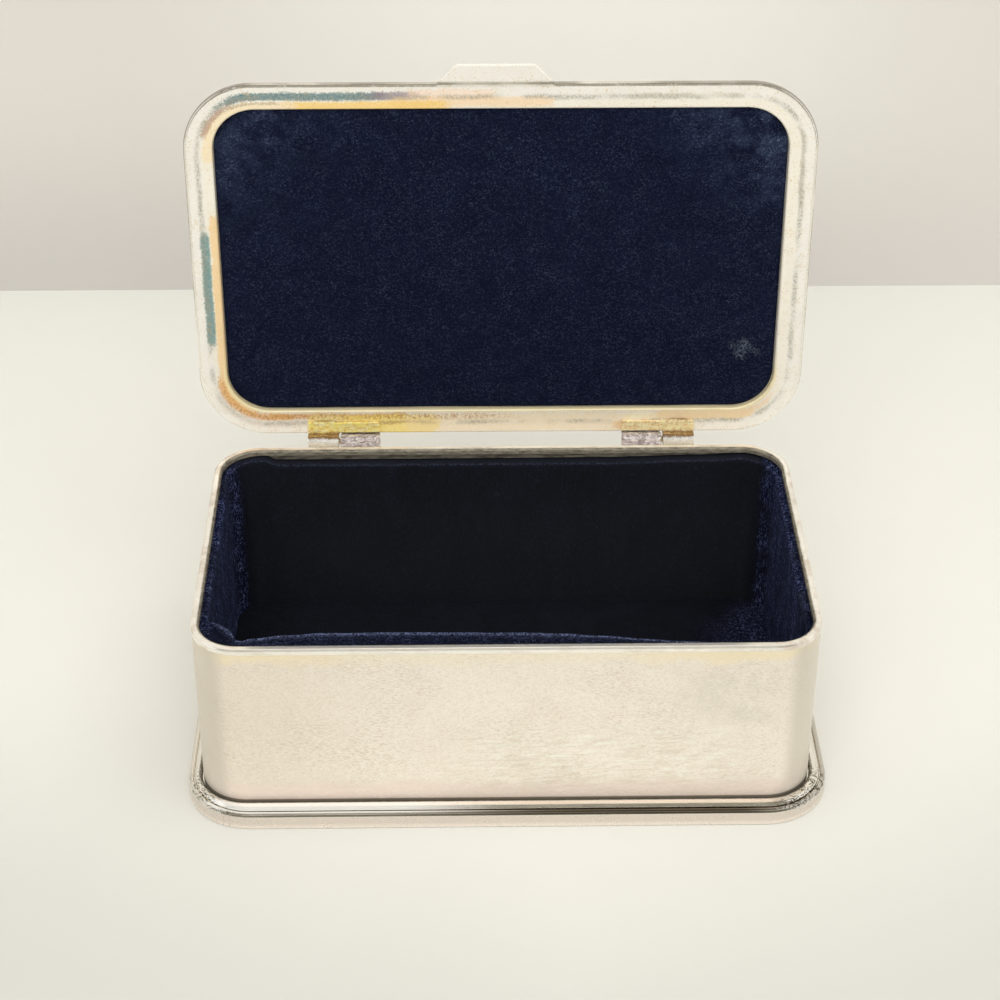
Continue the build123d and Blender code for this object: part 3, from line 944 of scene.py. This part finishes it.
# ---- flat velvet covers of the floor and of the lid's panel
def roundedPlace(u, v, halfWidth, halfHeight, corner):
    reach = max(abs(u), abs(v), 1e-9)
    sideX, sideY = u / reach * halfWidth, v / reach * halfHeight
    startX, startY = halfWidth - corner, halfHeight - corner
    if abs(sideX) > startX and abs(sideY) > startY:
        along = (abs(sideX) - startX) / corner if abs(v) >= abs(u) else 2 - (abs(sideY) - startY) / corner
        angle = math.radians(45 * along)
        sideX = math.copysign(startX + corner * math.sin(angle), sideX)
        sideY = math.copysign(startY + corner * math.cos(angle), sideY)
    spread = 1 - (1 - min(reach, 1.0)) ** 1.25
    return sideX * spread, sideY * spread, spread


def coverPanel(shape):
    outline = (shape["halfWidth"], shape["halfDepth"], shape["corner"])
    bpy.ops.mesh.primitive_grid_add(x_subdivisions=shape["cells"], y_subdivisions=shape["cells"], size=2)
    cover = bpy.context.object
    for vertex in cover.data.vertices:
        x, y, reach = roundedPlace(vertex.co.x, vertex.co.y, *outline)
        fromEdge = (1 - reach) * shape["halfDepth"]
        roll = max(0.0, 1 - fromEdge / shape["edgeRoll"])
        height = shape["crown"] * (1 - reach ** 3) - shape["edgeDrop"] * (1 - math.sqrt(1 - roll * roll))
        height += 0.1 * unevenness((x, y, shape["seed"]), 12.0) + 0.03 * unevenness((x, y, 7), 1.2)
        vertex.co = Vector((x, y, height)) * mm
    applyModifier(cover, "SOLIDIFY", thickness=shape["thickness"] * mm, offset=-1.0)
    return cover


floorCover = {
    "halfWidth": 60.8,
    "halfDepth": 35.05,
    "corner": 7.3,
    "cells": 110,
    "crown": 0.25,
    "edgeDrop": 0.25,
    "edgeRoll": 0.8,
    "thickness": 0.45,
    "seed": 2,
    "height": 2.72,
}
floorVelvet = coverPanel(floorCover)
floorVelvet.location.z = floorCover["height"] * mm
settle(floorVelvet)
finishPiece(floorVelvet, "velvetFloor", "box", velvetFloorCloth, ["floor_velvet"])

# Places in the lid are given as if it were closed: x, y and height above the face of its rim
openAngle = math.radians(lidPlace["openAngle"])
lidBack = Vector((0, math.cos(openAngle), -math.sin(openAngle)))
lidUp = Vector((0, math.sin(openAngle), math.cos(openAngle)))
lidTurn = Matrix((Vector((1, 0, 0)), lidBack, lidUp)).transposed().to_4x4()
lidMatrix = Matrix.Translation(Vector(lidPlace["middle"]) * mm) @ lidTurn

lidCover = {
    "halfWidth": 60.85,
    "halfDepth": 35.85,
    "corner": 9.15,
    "cells": 130,
    "crown": 0.4,
    "edgeDrop": 0.55,
    "edgeRoll": 1.6,
    "thickness": 0.45,
    "seed": 5,
    "height": 0.85,
    "middle": -0.5,
}
lidVelvet = coverPanel(lidCover)
turnedOver = Matrix.Rotation(math.pi, 4, "X")
rested = Matrix.Translation(Vector((0, lidCover["middle"], lidCover["height"])) * mm)
lidVelvet.data.transform(lidMatrix @ rested @ turnedOver)
finishPiece(lidVelvet, "velvetLid", "lid", velvetLid, ["lid_velvet"])
print("velvet panels ready")


# ---- hinges, soldered and worn; sizes in millimetres for the hinge on the +X side
hingeShape = {
    "wallFace": 37.58,
    "axisY": 42.5,
    "axisZ": 41.6,
    "barrel": 1.58,
    "bore": 0.76,
    "bodyStart": 27.32,
    "bodyLength": 8.9,
    "lidStart": 36.58,
    "lidLength": 7.0,
    "axisBelowLid": 1.65,
    "voxel": 0.13,
}


def addRod(radius, length, at, sides=64):
    bpy.ops.mesh.primitive_cylinder_add(vertices=sides, radius=radius * mm, depth=length * mm,
                                        location=Vector(at) * mm, rotation=(0, math.pi / 2, 0))
    rod = bpy.context.object
    settle(rod)
    return rod


def addBlock(low, high, bevel=0.0):
    size = Vector(high) - Vector(low)
    bpy.ops.mesh.primitive_cube_add(size=1, location=(Vector(low) + Vector(high)) / 2 * mm)
    block = bpy.context.object
    block.scale = size * mm
    settle(block)
    if bevel:
        applyModifier(block, "BEVEL", width=bevel * mm, segments=3)
    return block


def addSolder(size, at, seed):
    bpy.ops.mesh.primitive_ico_sphere_add(subdivisions=5, radius=1)
    blob = bpy.context.object
    for vertex in blob.data.vertices:
        swell = 1 + 0.22 * unevenness(vertex.co + Vector((seed, 0, 0)), 0.45)
        stretch = Vector((vertex.co.x * size[0], vertex.co.y * size[1], vertex.co.z * size[2]))
        vertex.co = (Vector(at) + stretch * swell) * mm
    return blob


def fuse(parts, voxel):
    bpy.ops.object.select_all(action="DESELECT")
    for part in parts:
        part.select_set(True)
    bpy.context.view_layer.objects.active = parts[0]
    bpy.ops.object.join()
    fused = bpy.context.object
    applyModifier(fused, "REMESH", mode="VOXEL", voxel_size=voxel * mm, use_smooth_shade=True)
    applyModifier(fused, "SMOOTH", factor=0.5, iterations=3)
    return fused


def cutAway(thing, cutter):
    applyModifier(thing, "BOOLEAN", operation="DIFFERENCE", object=cutter, solver="EXACT")
    bpy.data.objects.remove(cutter)


def roughen(thing, amount, size, seed):
    thing.data.update()
    moved = []
    for vertex in thing.data.vertices:
        swell = unevenness(vertex.co / mm + Vector((seed, seed, 0)), size)
        moved.append(vertex.co + vertex.normal * amount * mm * swell)
    for vertex, place in zip(thing.data.vertices, moved):
        vertex.co = place


def bodyKnuckle(sign, seed):
    h = hingeShape
    y, z = h["axisY"], h["axisZ"]
    near, far = sorted((sign * h["bodyStart"], sign * (h["bodyStart"] + h["bodyLength"])))
    middle = (near + far) / 2
    parts = [
        addRod(h["barrel"], h["bodyLength"], (middle, y, z)),
        addBlock((near, h["wallFace"], z - 1.6), (far, y, z - 0.15)),
        addBlock((near + 0.1, h["wallFace"], 37.05), (far - 0.1, 38.35, 42.0), 0.2),
        addBlock((near + 0.05, y, 41.36), (far - 0.05, y + 2.98, 42.42), 0.25),
        addSolder((3.9, 0.9, 0.55), (middle - 0.3, 39.1, 41.45), seed),
        addSolder((2.6, 0.7, 0.5), (middle + 1.1, 40.3, 41.5), seed + 3),
    ]
    knuckle = fuse(parts, h["voxel"])
    roughen(knuckle, 0.09, 0.9, seed)
    cutAway(knuckle, addRod(h["bore"], h["bodyLength"] + 2, (middle, y, z)))
    return knuckle


def lidKnuckle(sign, seed):
    h = hingeShape
    y = h["axisY"]
    start, end = sorted((sign * h["lidStart"], sign * (h["lidStart"] + h["lidLength"])))
    near, far = sorted((sign * h["bodyStart"], sign * (h["lidStart"] + h["lidLength"])))
    middle = (start + end) / 2
    leaf = addBlock((near, 38.3, -0.8), (far, y, -0.02), 0.12)
    hollowEnds = sorted((sign * (h["bodyStart"] - 1), sign * (h["lidStart"] - 0.02)))
    hollowMiddle = (hollowEnds[0] + hollowEnds[1]) / 2
    cutAway(leaf, addRod(2.0, hollowEnds[1] - hollowEnds[0], (hollowMiddle, y, -h["axisBelowLid"])))
    parts = [
        leaf,
        addRod(h["barrel"], h["lidLength"], (middle, y, -h["axisBelowLid"])),
        addSolder((3.2, 0.8, 0.35), (middle, 38.6, -0.35), seed),
    ]
    knuckle = fuse(parts, h["voxel"])
    roughen(knuckle, 0.07, 0.8, seed)
    cutAway(knuckle, addRod(h["bore"], h["lidLength"] + 2, (middle, y, -h["axisBelowLid"])))
    knuckle.data.transform(lidMatrix)
    return knuckle


for sign, side in ((1, "right"), (-1, "left")):
    knuckle = bodyKnuckle(sign, 11 + sign)
    finishPiece(knuckle, "hingeBodyKnuckle" + side.title(), "box", knuckleMetal,
                ["hinge_body_knuckle_" + side])
    knuckle = lidKnuckle(sign, 31 + sign)
    finishPiece(knuckle, "hingeLidKnuckle" + side.title(), "lid", leafMetal,
                ["hinge_lid_knuckle_" + side])
print("hinges ready")


# ---- table, wall and lamps
stageLook = {
    "tableFront": (0.635, 0.633, 0.592),
    "tableBack": (0.80, 0.797, 0.747),
    "wallLowLeft": (0.498, 0.475, 0.452),
    "wallLowRight": (0.552, 0.527, 0.50),
    "wallMiddle": (0.60, 0.572, 0.536),
    "wallHigh": (0.72, 0.708, 0.666),
    "wallGlow": 0.18,
    "wallAt": 192.6,
    "skyColour": (0.90, 0.895, 0.865),
    "skyLight": 0.87,
    "skySeen": 0.94,
    "lampColour": (1.0, 0.99, 0.965),
}
lampLooks = {
    "softBox": {"power": 8.0, "size": 1.3, "at": (0.25, -0.1, 1.2), "aim": (0.25, -0.1, 0.0)},
    "frontBox": {"power": 9.0, "size": 1.2, "at": (-0.15, -1.3, 0.95), "aim": (0.0, 0.0, 0.05)},
}


def finishStage(thing, name, material):
    settle(thing)
    thing.name = name
    thing.data.materials.append(material)
    thing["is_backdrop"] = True
    thing.select_set(False)


def seenRays(tree):
    ray = addNode(tree, "LightPath").outputs
    return larger(ray["Is Camera Ray"], larger(ray["Is Glossy Ray"], ray["Is Transmission Ray"]))


tableMaterial, tree, shader, point = newMaterial("tableTop")
axes = axesOf(point)
mottle = times(noiseAt(point, 60.0, 4.0, 0.6), 16.0)
# painted light: the table is paler near the box, against the box's shadow, and towards the back
paleFrom = minus(axes["Y"], times(absolute(minus(axes["X"], 12.0)), 0.3))
paintedLightShare = remap(plus(paleFrom, mottle), -110.0, -10.0)
fill(shader, {
    "Base Color": blendColour(paintedLightShare, stageLook["tableFront"], stageLook["tableBack"]),
    "Roughness": 0.55,
    "Specular IOR Level": 0.25,
    "Normal": bumped(noiseAt(point, 0.8, 3.0, 0.6), 0.1, 0.05),
})
bpy.ops.mesh.primitive_plane_add(size=7, location=(0, 0, 0))
finishStage(bpy.context.object, "tableTop", tableMaterial)

wallMaterial, tree, shader, point = newMaterial("backWall")
axes = axesOf(point)
# painted light and shade on the backdrop: darker at its foot and to the left, lighter high in the middle
rising = remap(axes["Z"], 2.0, 70.0)
middle = remap(absolute(minus(axes["X"], 18.0)), 130.0, 10.0)
leftToRight = remap(axes["X"], -110.0, 110.0)
wallFoot = blendColour(leftToRight, stageLook["wallLowLeft"], stageLook["wallLowRight"])
wallColour = blendColour(rising, wallFoot, stageLook["wallMiddle"])
wallColour = paint(wallColour, rising, middle, stageLook["wallHigh"])
fill(shader, {
    "Base Color": wallColour,
    "Emission Color": wallColour,
    "Emission Strength": times(seenRays(tree), stageLook["wallGlow"]),
    "Roughness": 0.7,
    "Specular IOR Level": 0.1,
})
seeThrough = addNode(tree, "BsdfTransparent").outputs[0]
behind = addNode(tree, "NewGeometry").outputs["Backfacing"]
mixed = addNode(tree, "MixShader", {0: behind, 1: shader.outputs[0], 2: seeThrough}).outputs[0]
wallOutput = [node for node in tree.nodes if node.bl_idname == "ShaderNodeOutputMaterial"][0]
fill(wallOutput, {"Surface": mixed})
bpy.ops.mesh.primitive_plane_add(size=3, location=(0, stageLook["wallAt"] * mm, 1.49),
                                 rotation=(math.pi / 2, 0, 0))
finishStage(bpy.context.object, "backWall", wallMaterial)

world = bpy.data.worlds.new("softRoom")
world.use_nodes = True
tree = world.node_tree
tree.nodes.clear()
level = remap(seenRays(tree), 0.0, 1.0, stageLook["skyLight"], stageLook["skySeen"])
background = addNode(tree, "Background", {"Color": (*stageLook["skyColour"], 1), "Strength": level})
addNode(tree, "OutputWorld", {"Surface": background.outputs[0]})
bpy.context.scene.world = world

for name, look in lampLooks.items():
    lampData = bpy.data.lights.new(name, "AREA")
    lampData.shape = "SQUARE"
    lampData.size = look["size"]
    lampData.energy = look["power"]
    lampData.color = stageLook["lampColour"]
    lamp = bpy.data.objects.new(name, lampData)
    lamp.location = look["at"]
    lamp.rotation_euler = (Vector(look["at"]) - Vector(look["aim"])).to_track_quat("Z", "Y").to_euler()
    lamp.visible_camera = False
    bpy.context.scene.collection.objects.link(lamp)

# Cards in front and above, which only the polished metal mirrors
cardLooks = {
    "greyCard": {
        "dark": (0.20, 0.19, 0.165),
        "pale": (0.36, 0.35, 0.31),
        "size": (1.3, 0.86, 1),
        "at": (0, -0.5, 0.43),
        "turn": math.pi / 2,
    },
    "highCard": {
        "dark": (0.26, 0.25, 0.22),
        "pale": (0.40, 0.39, 0.35),
        "size": (1.3, 0.62, 1),
        "at": (0, -0.19, 0.86),
        "turn": 0.0,
    },
}
for name, look in cardLooks.items():
    cardMaterial, tree, shader, point = newMaterial(name)
    cloth = noiseAt(point, 40.0, 3.0)
    fill(shader, {"Base Color": blendColour(cloth, look["dark"], look["pale"]), "Roughness": 1.0})
    bpy.ops.mesh.primitive_plane_add(size=1, location=look["at"], rotation=(look["turn"], 0, 0))
    card = bpy.context.object
    card.scale = look["size"]
    card.visible_camera = False
    card.visible_diffuse = False
    card.visible_shadow = False
    finishStage(card, name, cardMaterial)
print("stage ready")

low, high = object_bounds()
